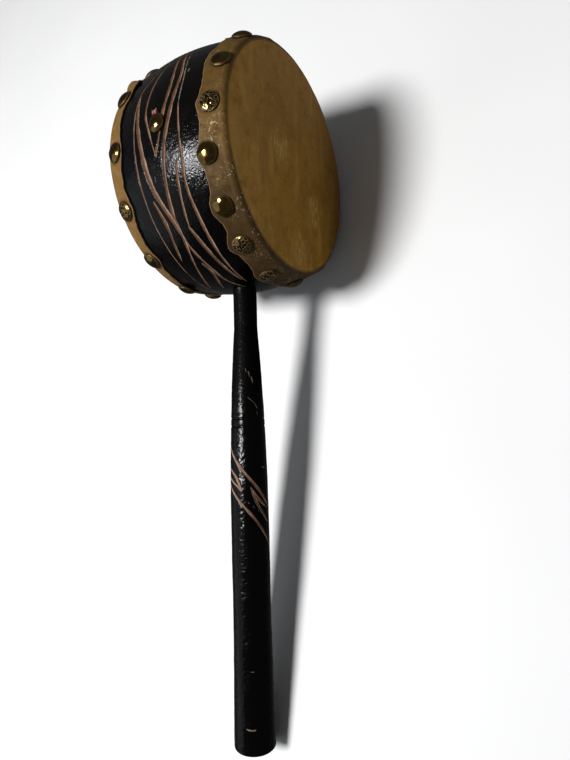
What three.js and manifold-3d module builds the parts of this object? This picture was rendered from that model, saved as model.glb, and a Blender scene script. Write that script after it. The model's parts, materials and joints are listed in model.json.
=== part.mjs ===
// Temple hand drum: a barrel-shaped wooden shell with a rawhide head nailed over
// each end, carried on one long turned handle. It lies on its side, resting on a
// small flat on the belly and another at the butt of the handle.
// Units are millimetres and +Z is up. X runs along the drum's own axis.

import * as THREE from 'three';
import { mergeVertices } from 'three/addons/utils/BufferGeometryUtils.js';
import Module from 'manifold-3d';

const wasm = await Module();
wasm.setup();

// Shell
const DRUM_DEPTH = 92.7; // over both hide faces
const RIM_RADIUS = 74.4; // wood at the two rims
const BELLY_BULGE = 7.5; // swell of the middle over the rims
const WALL = 9;
const RIM_ROUNDING = 3;
const FLAT_DEPTH = 0.35; // what lying down takes off the belly and the butt

// Heads
const HIDE = 1;
const GAP = 0.3; // air between pieces that touch

// A skirt's cut edge, from the drum's middle: its mean place, and how far it sways
// in or out over a number of lobes round the drum
const RIGHT_EDGE = { mean: 28.4, sway: 3.2, lobes: 1, phase: 65 };
const LEFT_EDGE = { mean: 34.3, sway: 1.5, lobes: 3, phase: -90 };
const SKIRT_START = 30; // a skirt's plain edge, before it is drawn to its cut edge

// Handle
const HANDLE_OFFSET = 4.4; // from the drum's middle towards its right head
const HANDLE_REACH = 389; // drum axis to the butt
const NECK_RADIUS = 8.15;
const GRIP_SWELL = 4.75; // grip radius over neck radius
const BUTT_FLARE = 0.95; // butt radius over grip radius
const FLARE_START = 109;
const FLARE_END = 245;
const BUTT_START = 305;
const BUTT_ROUNDING = 1;
const SOCKET_DEPTH = 6;
const SCORED_RINGS = [171.5, 176.8];
const RING_WIDTH = 0.9;
const RING_DEPTH = 0.35;

// Tacks
const TACK_RADIUS = 6.3;
const TACK_HEIGHT = 2.8;
const TACK_LIP = 0.5;

// A tack's place is its angle round the drum, its inset from the drum's middle and
// how far it holds the cut edge of the hide out. Angle 0 is the upper side, 90 the
// side away from the handle and -90 the handle. The first tacks were set by eye.
// The rest are spaced evenly round to the first.
const RIGHT_TACKS = [
  [52, 39.5, 2], [26, 39.6, 2], [4.5, 37, 2.2], [-16, 33.5, 4.2],
  [-37.5, 34, 4.2], [-56, 33.5, 4.2], [-80, 33, 3.5], [-105, 33, 3],
];
const LEFT_TACKS = [
  [55, 36, 2], [26.7, 37, 3.5], [-2.3, 37, 2.1], [-28.6, 38.5, 3],
  [-54.9, 39.3, 3], [-80.7, 37, -1.5], [-103, 37, 2],
];
const EVEN_TACKS = 7;
const EVEN_INSET = 36;
const EVEN_PULL = 2.5;
const PULL_SPREAD = 5.5; // degrees

// Cord tack on the band, with the stub of the cord that it held
const CORD_TACK = { angle: 2, offset: 1.2, radius: 5.7 };
const STUB_RADIUS = 1;
const STUB_LENGTH = 2.5;
const STUB_REACH = 8.4; // tack centre to stub centre
const STUB_BEARING = 103; // degrees from the drum's axis

// Gouged strokes on the band, as width and the points they pass: angle, offset
const BAND_STROKES = [
  [1.2, [46, -8.5], [33, -10.2], [22, -17.1], [4, -18.9], [-30, -18.5], [-91, -18.9]],
  [3.2, [21, -17.3], [8, -15.8], [-5, -13.3], [-23, -9], [-37.5, -3], [-52, -0.4]],
  [1.8, [-38, -2.9], [-50, -0.8], [-63, 2.6], [-75.5, 4.4], [-86, 9.8]],
  [1.5, [46, -2.6], [34, -4.4], [19, -7.2], [8, -8.6], [-1, -5.3], [-12, -1]],
  [2.1, [44, 1.6], [30, 6.4], [18, 8.3], [6.7, 5.8], [-4, 2.3], [-12, -1.5]],
  [2.4, [47, 5.5], [36, 9.6], [22, 14], [6, 10.9], [-12, 4.4], [-33, -0.3], [-50, -2.6], [-80, -14.8]],
  [1.9, [8.5, 16.4], [-12, 16.8], [-26, 15.4], [-40, 16.2], [-60, 15.9], [-80, 15.5]],
  [1.6, [-14.5, 12.7], [-25, 10.3], [-43, 6.5]],
  [2.6, [-41.5, 6.3], [-48, 8.6], [-60, 11.3], [-78, 14]],
  [2.5, [-28, -11.8], [-40, -9.2], [-57, -14]],
  [2.2, [-60, -0.6], [-66, 1], [-73, -1.4], [-82, -5.8]],
  [1.8, [52, 14], [95, 9], [150, -8]],
  [2.0, [58, -13], [100, -7], [155, 9]],
  [1.8, [-100, -15], [-130, -13], [-158, -16]],
];
const BAND_STROKE_DEPTH = 0.9;

// Gouged strokes on the handle, as width and the points they pass: angle, reach
const HANDLE_STROKES = [
  [2.2, [-48, 190], [7, 204], [55, 216.5], [110, 232]],
  [5.0, [-44, 205], [-10, 212], [10, 219]],
  [4.4, [37, 217], [56, 225.5], [98, 239]],
  [2.2, [-48, 215], [5, 227], [52, 239], [110, 257]],
];
const HANDLE_STROKE_DEPTH = 0.9;
const STROKE_LIFT = 0.7; // a cutter's height over the wood
const BAND_CHISEL_STEP = 15;
const HANDLE_CHISEL_STEP = 4.5;

// Facets
const AROUND_DRUM = 48;
const AROUND_HANDLE = 24;
const AROUND_TACK = 8;
const BELLY_STEPS = 3;
const RIM_STEPS = 3;
const SKIRT_STEPS = 2;
const DOME_STEPS = 3;

const LACQUER = { color: 0x16130f, roughness: 0.38, metalness: 0 };
const RAWHIDE = { color: 0x8a7440, roughness: 0.62, metalness: 0 };
const BRASS = { color: 0x8a6a2c, roughness: 0.34, metalness: 1 };
const RED_CORD = { color: 0x9a4a48, roughness: 0.9, metalness: 0 };

const radians = THREE.MathUtils.degToRad;
const smooth = THREE.MathUtils.smoothstep;
const lerp = THREE.MathUtils.lerp;

// Wood surface of the barrel at a distance along the drum's axis
function woodRadius(along) {
  const out = (2 * along) / DRUM_DEPTH;
  return RIM_RADIUS + BELLY_BULGE * (1 - out * out);
}

// Angle by which the barrel's side leans in towards a rim
function woodLean(along) {
  return Math.atan((8 * BELLY_BULGE * along) / (DRUM_DEPTH * DRUM_DEPTH));
}

// A place on the barrel: the point, and the way out of the wood there
function onBarrel(angle, along) {
  const turn = radians(angle);
  const lean = woodLean(along);
  const out = new THREE.Vector3(0, Math.sin(turn), Math.cos(turn));
  const point = out.clone().multiplyScalar(woodRadius(along));
  point.x = along;
  const normal = out.multiplyScalar(Math.cos(lean));
  normal.x = Math.sin(lean);
  return { point, normal };
}

function handleRadius(reach) {
  const swell = THREE.MathUtils.clamp((reach - FLARE_START) / (FLARE_END - FLARE_START), 0, 1);
  const grip = GRIP_SWELL * (1 - (1 - swell) * (1 - swell));
  return NECK_RADIUS + grip + BUTT_FLARE * smooth(reach, BUTT_START, HANDLE_REACH);
}

function onHandle(angle, reach) {
  const turn = radians(angle);
  const normal = new THREE.Vector3(Math.sin(turn), 0, Math.cos(turn));
  const point = normal.clone().multiplyScalar(handleRadius(reach));
  point.x += HANDLE_OFFSET;
  point.y = -reach;
  return { point, normal };
}

// Solids for cutting: only positions, shared corners merged, flat triangles dropped
function toSolid(geometry) {
  const bare = geometry.clone();
  bare.deleteAttribute('normal');
  bare.deleteAttribute('uv');
  const merged = mergeVertices(bare, 1e-4);
  const corners = merged.index.array;
  const triangles = [];
  for (let i = 0; i < corners.length; i += 3) {
    const [a, b, c] = corners.slice(i, i + 3);
    if (a !== b && b !== c && c !== a) triangles.push(a, b, c);
  }
  const mesh = new wasm.Mesh({
    numProp: 3,
    vertProperties: new Float32Array(merged.attributes.position.array),
    triVerts: new Uint32Array(triangles),
  });
  return new wasm.Manifold(mesh);
}

function toGeometry(solid) {
  const mesh = solid.getMesh();
  const geometry = new THREE.BufferGeometry();
  geometry.setAttribute('position', new THREE.BufferAttribute(mesh.vertProperties, 3));
  geometry.setIndex(new THREE.BufferAttribute(mesh.triVerts, 1));
  geometry.computeVertexNormals();
  return geometry;
}

function cut(geometry, cutters) {
  let solid = toSolid(geometry);
  for (const cutter of cutters) solid = solid.subtract(toSolid(cutter));
  return toGeometry(solid);
}

// V-shaped cutter along a stroke, tapering to both ends
function strokeCutter([width, ...points], depth, place, chiselStep) {
  const path = new THREE.SplineCurve(points.map(([angle, along]) => new THREE.Vector2(angle, along)));
  const at = (share) => {
    const spot = path.getPoint(share);
    return place(spot.x, spot.y);
  };
  const ends = [0, 0.5, 1].map((share) => at(share).point);
  const length = ends[0].distanceTo(ends[1]) + ends[1].distanceTo(ends[2]);
  const steps = Math.ceil(length / chiselStep);
  const corners = [];
  for (let i = 0; i <= steps; i += 1) {
    const share = i / steps;
    const { point, normal } = at(share);
    const ahead = at(Math.min(share + 0.01, 1)).point;
    const behind = at(Math.max(share - 0.01, 0)).point;
    const side = ahead.sub(behind).cross(normal).normalize();
    const fullness = lerp(0.25, 1, Math.sqrt(Math.sin(Math.PI * share)));
    const deep = depth * fullness;
    const half = (width / 2) * fullness * (1 + STROKE_LIFT / deep);
    const top = point.clone().addScaledVector(normal, STROKE_LIFT);
    corners.push(top.clone().addScaledVector(side, half));
    corners.push(top.clone().addScaledVector(side, -half));
    corners.push(point.clone().addScaledVector(normal, -deep));
  }
  const faces = [0, 1, 2];
  for (let i = 0; i < steps * 3; i += 3) {
    for (let k = 0; k < 3; k += 1) {
      const a = i + k;
      const b = i + ((k + 1) % 3);
      faces.push(a, a + 3, b, b, a + 3, b + 3);
    }
  }
  const last = steps * 3;
  faces.push(last, last + 2, last + 1);
  return new THREE.BufferGeometry().setFromPoints(corners).setIndex(faces);
}

// Barrel profile from the belly over one rounded rim, lifted off the wood by a
// distance: pairs of axial place and radius, ending on the rim's flat end
function rimProfile(lift, start, rows) {
  const end = DRUM_DEPTH / 2 - HIDE - GAP;
  const shoulder = end - RIM_ROUNDING;
  const centre = woodRadius(shoulder) - RIM_ROUNDING;
  const profile = [];
  for (let i = 0; i < rows; i += 1) {
    const along = lerp(start, shoulder, i / rows);
    profile.push([along, woodRadius(along) + lift]);
  }
  for (let i = 0; i <= RIM_STEPS; i += 1) {
    const turn = lerp(woodLean(shoulder), Math.PI / 2, i / RIM_STEPS);
    const reach = RIM_ROUNDING + lift;
    profile.push([shoulder + reach * Math.sin(turn), centre + reach * Math.cos(turn)]);
  }
  return profile;
}

function latheAlongDrum(profile, sign) {
  const points = profile.map(([along, radius]) => new THREE.Vector2(radius, along));
  const geometry = new THREE.LatheGeometry(points, AROUND_DRUM);
  return geometry.rotateZ((-sign * Math.PI) / 2);
}

// Hollow shell with its strokes, the handle's socket and the flat it lies on
function shellGeometry(floor) {
  const rim = rimProfile(0, 0, BELLY_STEPS);
  const mirrored = rim.slice(1).reverse().map(([along, radius]) => [-along, radius]);
  const outside = [...mirrored, ...rim];
  const end = rim[rim.length - 1][0];
  const inside = [end, 0, -end].map((along) => [along, woodRadius(along) - WALL]);
  const ring = latheAlongDrum([...outside, ...inside, outside[0]], 1);
  const strokes = BAND_STROKES.map((stroke) => (
    strokeCutter(stroke, BAND_STROKE_DEPTH, onBarrel, BAND_CHISEL_STEP)));
  const socket = new THREE.CylinderGeometry(
    NECK_RADIUS + GAP, NECK_RADIUS + GAP, 2 * SOCKET_DEPTH, AROUND_HANDLE);
  socket.translate(HANDLE_OFFSET, -woodRadius(HANDLE_OFFSET), 0);
  return cut(ring, [...strokes, socket, floor]);
}

// Place of the hide's cut edge at an angle, held out at each tack
function hideEdge({ mean, sway, lobes, phase }, tacks, angle) {
  let place = mean + sway * Math.sin(radians(lobes * angle + phase));
  for (const [tackAngle, , pull] of tacks) {
    const away = THREE.MathUtils.euclideanModulo(angle - tackAngle + 180, 360) - 180;
    place -= pull * Math.exp(-((away / PULL_SPREAD) ** 2));
  }
  return place;
}

// Hide stretched over one end, its skirt drawn down to a wavy cut edge
function headGeometry(sign, edge, tacks) {
  const outer = rimProfile(GAP + HIDE, SKIRT_START, SKIRT_STEPS);
  const inner = rimProfile(GAP, SKIRT_START, 1);
  const [outerFace] = outer[outer.length - 1];
  const [innerFace] = inner[inner.length - 1];
  const profile = [[innerFace, 0], ...inner.reverse(), ...outer, [outerFace, 0]];
  const geometry = latheAlongDrum(profile, sign);
  const [shoulder] = outer[SKIRT_STEPS];
  const spot = geometry.attributes.position;
  for (let i = 0; i < spot.count; i += 1) {
    const along = Math.abs(spot.getX(i));
    if (along >= shoulder) continue;
    const turn = Math.atan2(spot.getY(i), spot.getZ(i));
    const lift = Math.hypot(spot.getY(i), spot.getZ(i)) - woodRadius(along);
    const down = Math.min((shoulder - along) / (shoulder - SKIRT_START), 1);
    const drawn = lerp(shoulder, hideEdge(edge, tacks, THREE.MathUtils.radToDeg(turn)), down);
    const radius = woodRadius(drawn) + lift;
    spot.setXYZ(i, sign * drawn, radius * Math.sin(turn), radius * Math.cos(turn));
  }
  return geometry;
}

// Turned handle: neck, long flare, grip and butt, with two scored rings
function handleGeometry(floor) {
  const top = woodRadius(HANDLE_OFFSET) - SOCKET_DEPTH + GAP;
  const reaches = [top, FLARE_START];
  for (let i = 1; i <= 4; i += 1) reaches.push(lerp(FLARE_START, FLARE_END, i / 5));
  reaches.push(FLARE_END, BUTT_START);
  for (let i = 1; i <= 3; i += 1) reaches.push(lerp(BUTT_START, HANDLE_REACH - BUTT_ROUNDING, i / 3));
  const outline = reaches.map((reach) => [reach, handleRadius(reach)]);
  for (const ring of SCORED_RINGS) {
    for (const step of [-1, 0, 1]) {
      const reach = ring + (step * RING_WIDTH) / 2;
      outline.push([reach, handleRadius(reach) - (step === 0 ? RING_DEPTH : 0)]);
    }
  }
  outline.sort((a, b) => a[0] - b[0]);
  outline.push([HANDLE_REACH, handleRadius(HANDLE_REACH) - BUTT_ROUNDING]);
  const points = [[HANDLE_REACH, 0], ...outline.reverse(), [top, 0]];
  const profile = points.map(([reach, radius]) => new THREE.Vector2(radius, -reach));
  const turned = new THREE.LatheGeometry(profile, AROUND_HANDLE);
  turned.translate(HANDLE_OFFSET, 0, 0);
  const strokes = HANDLE_STROKES.map((stroke) => (
    strokeCutter(stroke, HANDLE_STROKE_DEPTH, onHandle, HANDLE_CHISEL_STEP)));
  return cut(turned, [...strokes, floor]);
}

// Domed tack head standing on +Y
function tackGeometry(radius) {
  const profile = [new THREE.Vector2(0, 0), new THREE.Vector2(radius, 0)];
  for (let i = 0; i < DOME_STEPS; i += 1) {
    const turn = (i / DOME_STEPS) * (Math.PI / 2);
    const height = TACK_LIP + (TACK_HEIGHT - TACK_LIP) * Math.sin(turn);
    profile.push(new THREE.Vector2(radius * Math.cos(turn), height));
  }
  profile.push(new THREE.Vector2(0, TACK_HEIGHT));
  return new THREE.LatheGeometry(profile, AROUND_TACK);
}

const group = new THREE.Group();
const drum = new THREE.Group();
group.add(drum);

function addPiece(name, geometry, finish) {
  const piece = new THREE.Mesh(geometry, new THREE.MeshStandardMaterial(finish));
  piece.name = name;
  drum.add(piece);
  return piece;
}

// Lying down: the drum leans until the butt of the handle meets the ground
const buttRadius = handleRadius(HANDLE_REACH - BUTT_ROUNDING);
const buttReach = HANDLE_REACH - BUTT_ROUNDING;
const lyingHeight = woodRadius(0) - FLAT_DEPTH;
const steepest = Math.asin((lyingHeight + FLAT_DEPTH) / Math.hypot(buttReach, buttRadius));
drum.rotation.x = steepest - Math.atan2(buttRadius, buttReach);
drum.position.z = lyingHeight;
drum.updateMatrix();

// The ground, as a block in the drum's own axes
const GROUND_SIZE = 1200;
const ground = new THREE.BoxGeometry(GROUND_SIZE, GROUND_SIZE, GROUND_SIZE);
ground.translate(0, 0, -GROUND_SIZE / 2);
ground.applyMatrix4(drum.matrix.clone().invert());

addPiece('shell', shellGeometry(ground), LACQUER);
addPiece('handle', handleGeometry(ground), LACQUER);

function withEvenTacks(tacks) {
  const [first] = tacks[0];
  const [last] = tacks[tacks.length - 1];
  const step = (first - last - 360) / (EVEN_TACKS + 1);
  const rest = Array.from({ length: EVEN_TACKS }, (_, i) => (
    [last + step * (i + 1), EVEN_INSET, EVEN_PULL]));
  return [...tacks, ...rest];
}

const upright = new THREE.Vector3(0, 1, 0);

function addTack(name, angle, along, lift, radius = TACK_RADIUS) {
  const { point, normal } = onBarrel(angle, along);
  const tack = addPiece(name, tackGeometry(radius), BRASS);
  tack.position.copy(point).addScaledVector(normal, lift);
  tack.quaternion.setFromUnitVectors(upright, normal);
}

function addHead(side, sign, edge, setTacks) {
  const tacks = withEvenTacks(setTacks);
  addPiece(`head_${side}`, headGeometry(sign, edge, tacks), RAWHIDE);
  tacks.forEach(([angle, inset], i) => {
    const number = String(i + 1).padStart(2, '0');
    addTack(`tack_${side}_${number}`, angle, sign * inset, GAP + HIDE + GAP);
  });
}

addHead('right', 1, RIGHT_EDGE, RIGHT_TACKS);
addHead('left', -1, LEFT_EDGE, LEFT_TACKS);

addTack('cord_tack', CORD_TACK.angle, CORD_TACK.offset, GAP, CORD_TACK.radius);

// Stub of cord that stays beside its tack, lying on the band
const bearing = radians(STUB_BEARING);
const roundTurn = THREE.MathUtils.radToDeg((STUB_REACH * Math.sin(bearing)) / woodRadius(0));
const stubPlace = onBarrel(
  CORD_TACK.angle + roundTurn, CORD_TACK.offset + STUB_REACH * Math.cos(bearing));
const stub = addPiece(
  'cord_stub', new THREE.CapsuleGeometry(STUB_RADIUS, STUB_LENGTH, 2, 8), RED_CORD);
stub.position.copy(stubPlace.point).addScaledVector(stubPlace.normal, STUB_RADIUS + 2 * GAP);
const stubWay = new THREE.Vector3(Math.cos(bearing), Math.sin(bearing), 0);
stub.quaternion.setFromUnitVectors(upright, stubWay.projectOnPlane(stubPlace.normal).normalize());

// The origin goes to the middle of the footprint
group.updateMatrixWorld(true);
const middle = new THREE.Box3().setFromObject(group, true).getCenter(new THREE.Vector3());
drum.position.x -= middle.x;
drum.position.y -= middle.y;

export default group;
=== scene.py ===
"""Looks of the temple hand drum: gouged black lacquer, nailed rawhide, tarnished brass and a cord's stub.

Sizes are in millimetres and angles in degrees, in the drum's own axes: X runs along the drum towards its
right head, -Y along the handle and Z up out of the side that shows. Meshes are scaled to metres at the end.
"""

import json
import math

import bpy
import numpy as np
from mathutils import Matrix, Vector


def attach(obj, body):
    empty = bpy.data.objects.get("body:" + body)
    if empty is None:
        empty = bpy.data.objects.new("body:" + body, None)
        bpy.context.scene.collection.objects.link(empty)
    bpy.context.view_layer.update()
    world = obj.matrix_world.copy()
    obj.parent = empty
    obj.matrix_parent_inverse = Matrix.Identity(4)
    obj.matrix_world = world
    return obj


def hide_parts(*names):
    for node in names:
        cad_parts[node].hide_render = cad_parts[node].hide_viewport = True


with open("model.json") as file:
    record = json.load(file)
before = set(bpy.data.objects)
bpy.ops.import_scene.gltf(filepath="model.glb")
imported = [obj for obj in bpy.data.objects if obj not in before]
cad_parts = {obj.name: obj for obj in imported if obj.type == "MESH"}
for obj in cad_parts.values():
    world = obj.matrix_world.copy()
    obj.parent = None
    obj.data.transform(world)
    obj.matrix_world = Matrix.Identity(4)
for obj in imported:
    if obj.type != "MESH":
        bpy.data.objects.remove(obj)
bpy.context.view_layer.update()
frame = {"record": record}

MM = 0.001

# Shell
DRUM_DEPTH = 92.7
RIM_RADIUS = 74.4
BELLY_BULGE = 7.5
WALL = 9
RIM_ROUNDING = 3
BAND_LOW, BAND_HIGH = -38.5, 31.5  # the stretch of the shell that the hides leave bare
SHELL_COLUMNS = 500
BAND_STEP = 0.42
SHELL_MARKS = [(0.07, 34, 1), (0.025, 6, 2), (0.012, 2.4, 7)]  # of lathe and brush: height, size, seed

# Heads
HIDE = 1
GAP = 0.3
SHOULDER = DRUM_DEPTH / 2 - HIDE - GAP - RIM_ROUNDING  # where the shell starts to round over into its rim
RIGHT_EDGE = {"mean": 28.4, "sway": 3.2, "lobes": 1, "phase": 65, "buckle": 0}
LEFT_EDGE = {"mean": 34.3, "sway": 1.5, "lobes": 3, "phase": -90, "buckle": 3.2}
BUCKLE_ANGLE, BUCKLE_SPREAD = 37, 5  # where the left hide has come up off the wood
BUCKLE_REACH = 4.5
HEAD_COLUMNS = 420
FACE_ROWS, RIM_ROWS, SKIRT_ROWS = 30, 11, 34
FACE_MIDDLE = 4  # radius of the innermost row
TAUT_MARGIN = 12  # how far in from the rim the face stays flat
SEAT_SPREAD = 8  # how far round a tack the hide is pressed down
FAR = 30.0  # distance that stands for nowhere near an edge or a tack
WORN_SPOTS = [(46.4, 2, 17), (46.4, -27, -29), (46.4, -59, -6)]  # scratched on the right face
SCUFFED_SPOT = (39.5, -11.5, 77)  # on the right skirt

# Handle
HANDLE_OFFSET = 4.4
HANDLE_REACH = 389
NECK_RADIUS = 8.15
GRIP_SWELL = 4.75
BUTT_FLARE = 0.95
FLARE_START, FLARE_END = 109, 245
BUTT_START = 305
BUTT_ROUNDING = 1
SOCKET_DEPTH = 6
SCORED_RINGS = (171.5, 176.8)
RING_WIDTH = 1
RING_DEPTH = 0.45
HANDLE_COLUMNS = 160
HANDLE_ROW_STEPS = [(125, 0.8), (262, 0.45), (330, 0.8), (376, 0.6)]  # a reach, and the step up to it
HANDLE_MARKS = [(0.05, 26, 3), (0.02, 5, 4), (0.012, 1.7, 6)]

# Tacks
TACK_RADIUS = 6.3
TACK_HEIGHT = 2.8
TACK_LIP = 0.5
TACK_SEAT = GAP + HIDE + GAP
TACK_BITE = 0.4  # how far a tack's edge presses into what it holds
TACK_COLUMNS = 48
PIT_DEPTH = 0.34
RIGHT_TACKS = [
    (52, 39.5, 2), (26, 39.6, 2), (4.5, 37, 2.2), (-16, 33.5, 4.2),
    (-37.5, 34, 4.2), (-56, 33.5, 4.2), (-80, 33, 3.5), (-105, 33, 3),
]
LEFT_TACKS = [
    (55, 36, 2), (26.7, 37, 3.5), (-2.3, 37, 2.1), (-28.6, 38.5, 3),
    (-54.9, 39.3, 3), (-80.7, 37, -1.5), (-103, 37, 2),
]
EVEN_TACKS = 7
EVEN_INSET = 36
EVEN_PULL = 2.5
PULL_SPREAD = 5.5
PITTED_TACKS = ("tack_right_03", "tack_right_06", "tack_right_07", "tack_left_04")

# Cord tack and the stub of cord beside it
CORD_TACK_ANGLE, CORD_TACK_OFFSET = 2, 1.2
CORD_TACK_RADIUS = 5.7
STUB_REACH = 7
STUB_BEARING = 98
STUB_RADIUS = 1
STUB_LENGTH = 3.4
STUB_TWIST = 2.2  # turn of a thread from its middle to an end, in radians
THREADS = 24
THREAD_RADII = (0.17, 0.26)
STRAND_SIDES = 7
STRAND_STEPS = 16

# Gouged strokes on the band, as width and the points they pass: angle, offset
BAND_STROKES = [
    (1.2, (62, -6), (33, -10.2), (22, -17.1), (4, -18.9), (-30, -18.5), (-91, -18.9)),
    (3.2, (21, -17.3), (8, -15.8), (-5, -13.3), (-23, -9), (-37.5, -3), (-52, -0.4)),
    (1.8, (-38, -2.9), (-50, -0.8), (-63, 2.6), (-75.5, 4.4), (-86, 9.8)),
    (1.5, (62, 0), (34, -4.4), (19, -7.2), (8, -8.6), (-1, -5.3), (-12, -1)),
    (2.1, (62, -3), (30, 6.4), (18, 8.3), (6.7, 5.8), (-4, 2.3), (-12, -1.5)),
    (2.4, (62, 0), (36, 9.6), (22, 14), (6, 10.9), (-12, 4.4), (-33, -0.3), (-50, -2.6), (-80, -14.8)),
    (1.9, (8.5, 16.4), (-12, 16.8), (-26, 15.4), (-40, 16.2), (-60, 15.9), (-80, 15.5)),
    (1.6, (-14.5, 12.7), (-25, 10.3), (-43, 6.5)),
    (2.6, (-41.5, 6.3), (-48, 8.6), (-60, 11.3), (-78, 14)),
    (2.5, (-28, -11.8), (-40, -9.2), (-57, -14)),
    (2.2, (-60, -0.6), (-66, 1), (-73, -1.4), (-82, -5.8)),
    (1.8, (52, 14), (95, 9), (150, -8)),
    (2.0, (58, -13), (100, -7), (155, 9)),
    (1.8, (-100, -15), (-130, -13), (-158, -16)),
]
BAND_STROKE_DEPTH = 0.9
BAND_CHIPS = [(1.2, (23.5, 18.7), (26, 18.9)), (0.9, (44, 10.5), (22, 16.9), (7.5, 16.6))]

# Gouged strokes on the handle, as width and the points they pass: angle, reach.
# The two shorter pairs close on a strip of lacquer that was left standing.
HANDLE_STROKES = [
    (2.2, (-48, 190), (7, 204), (55, 216.5), (110, 232)),
    (2.0, (-46, 204.5), (-10, 210.5), (11, 219)),
    (2.0, (-46, 211), (-12, 215.5), (11, 219)),
    (2.0, (38, 217.5), (60, 224.6), (98, 232)),
    (2.0, (38, 217.5), (58, 228), (98, 241)),
    (2.2, (-48, 215), (5, 227), (52, 239), (110, 257)),
]
HANDLE_STROKE_DEPTH = 0.9
HANDLE_CHIPS = [
    (0.7, (28, 137.6), (34, 140.2)),
    (1.0, (40, 140), (46, 143)),
    (1.3, (50, 143.6), (58, 147)),
    (0.5, (14, 128.8), (23, 128.2)),
    (0.5, (34, 157), (60, 161.3)),
    (0.7, (58, 161), (72, 165.2)),
    (0.6, (67, 167), (71, 169.5)),
    (0.9, (78, 204), (91, 205.2)),
    (0.6, (29, 226.6), (34, 228)),
    (0.6, (44, 229.6), (50, 231)),
    (0.5, (59, 232.4), (64, 233.8)),
    (0.5, (57, 247), (61, 248)),
    (1.3, (9, 371.5), (26, 372.3), (41, 372)),
    (0.5, (1, 348.6), (7, 349)),
    (0.5, (17, 335.6), (38, 336)),
]
CHIP_DEPTH = 0.3
HANDLE_DENTS = [
    (1.4, (18, 106), (23, 108)),
    (1.2, (33, 116.5), (37, 117.2)),
    (1.2, (51, 116.5), (55, 117.2)),
    (1.3, (67, 111), (71, 112.4)),
    (1.6, (70, 190), (75, 191.4)),
    (1.2, (11, 342.6), (15, 344)),
    (1.8, (20, 354), (28, 357)),
    (1.3, (-14, 355), (-9, 356.4)),
    (1.3, (-5, 363), (0, 365)),
    (1.6, (49, 287.6), (54, 289)),
    (1.4, (29, 291.8), (33, 293.2)),
]

UNCUT = -1.5  # how far inside a stroke a point counts that is well away from it

# Seeds of the uneven forms
BAND_STROKE_SEED, BAND_CHIP_SEED = 100, 400
HANDLE_STROKE_SEED, HANDLE_CHIP_SEED, HANDLE_DENT_SEED, RING_SEED = 500, 700, 900, 5
HEAD_SEED, TACK_SEED, CORD_TACK_SEED, CORD_SEED = 30, 1000, 1300, 77

# Camera, in the drum's axes, and the lens that frames an image of 570 by 760
CAMERA_SPOT = (220.362, -169.202, 312.434)
CAMERA_TURN, CAMERA_NOD, CAMERA_TILT = 30.657, 3.545, 1.590
LENS = 25.888
SENSOR = 36

# Light
KEY_WAY = (-0.27, -0.23, 0.935)  # from the drum towards the lamp
KEY_DISTANCE = 1.6
KEY_SIZE = 0.46
KEY_POWER = 34
KEY_LIGHT = (1, 1, 1)
ROOM_GLOW = 0.08
SIDE_WAY = (-0.75, -0.45, 0.48)  # towards a dim window on the left
SIDE_DISTANCE = 1.5
SIDE_SIZE = 1.5
SIDE_POWER = 3.4
SIDE_LIGHT = (0.86, 0.92, 1)
FLOOR_SIZE = 8


def drum_axes():
    """Place of the drum's own axes, from the faces that the record names"""
    mounts = {mount["name"]: mount for mount in frame["record"]["mounts"]}
    right = Vector(mounts["right_head_face"]["pos_m"])
    left = Vector(mounts["left_head_face"]["pos_m"])
    handle_way = Vector(mounts["butt_face"]["axis"])
    lean = math.atan2(-handle_way.z, -handle_way.y)
    return Matrix.Translation((right + left) / 2) @ Matrix.Rotation(lean, 4, "X")


DRUM_AXES = drum_axes()


# Small maths

def lerp(start, end, share):
    return start + (end - start) * share


def smooth(value, low, high):
    share = np.clip((value - low) / (high - low), 0, 1)
    return share * share * (3 - 2 * share)


def nearest_turn(angle):
    return (angle + 180) % 360 - 180


def unevenness(points, size, seed, waves=28):
    """Smooth random heights over points, mostly within -2 to 2, with hills about a size apart"""
    draw = np.random.default_rng(seed)
    ways = draw.normal(size=(waves, 3)) * (2 * math.pi / size / math.sqrt(3))
    starts = draw.uniform(0, 2 * math.pi, waves)
    total = np.zeros(points.shape[:-1])
    for way, start in zip(ways, starts):
        total += np.sin(points @ way + start)
    return total / math.sqrt(waves / 2)


def marked(points, marks):
    """Relief from marks of a height, a size and a seed each"""
    return sum(height * unevenness(points, size, seed) for height, size, seed in marks)


def wood_radius(along):
    return RIM_RADIUS + BELLY_BULGE * (1 - (2 * along / DRUM_DEPTH) ** 2)


def wood_lean(along):
    return np.arctan(8 * BELLY_BULGE * along / DRUM_DEPTH ** 2)


def on_barrel(angle, along, lift):
    """Points at a height over the barrel's wood, with the angle round it and the place along it"""
    turn = np.radians(angle)
    lean = wood_lean(along)
    radius = wood_radius(along) + lift * np.cos(lean)
    return np.stack(np.broadcast_arrays(
        along + lift * np.sin(lean), radius * np.sin(turn), radius * np.cos(turn)), -1)


def round_drum(angle, along, radius):
    turn = np.radians(angle)
    return np.stack(np.broadcast_arrays(along, radius * np.sin(turn), radius * np.cos(turn)), -1)


def handle_radius(reach):
    swell = np.clip((reach - FLARE_START) / (FLARE_END - FLARE_START), 0, 1)
    grip = GRIP_SWELL * (1 - (1 - swell) ** 2)
    return NECK_RADIUS + grip + BUTT_FLARE * smooth(reach, BUTT_START, HANDLE_REACH)


def round_handle(angle, reach, radius):
    turn = np.radians(angle)
    return np.stack(np.broadcast_arrays(
        HANDLE_OFFSET + radius * np.sin(turn), -reach, radius * np.cos(turn)), -1)


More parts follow.
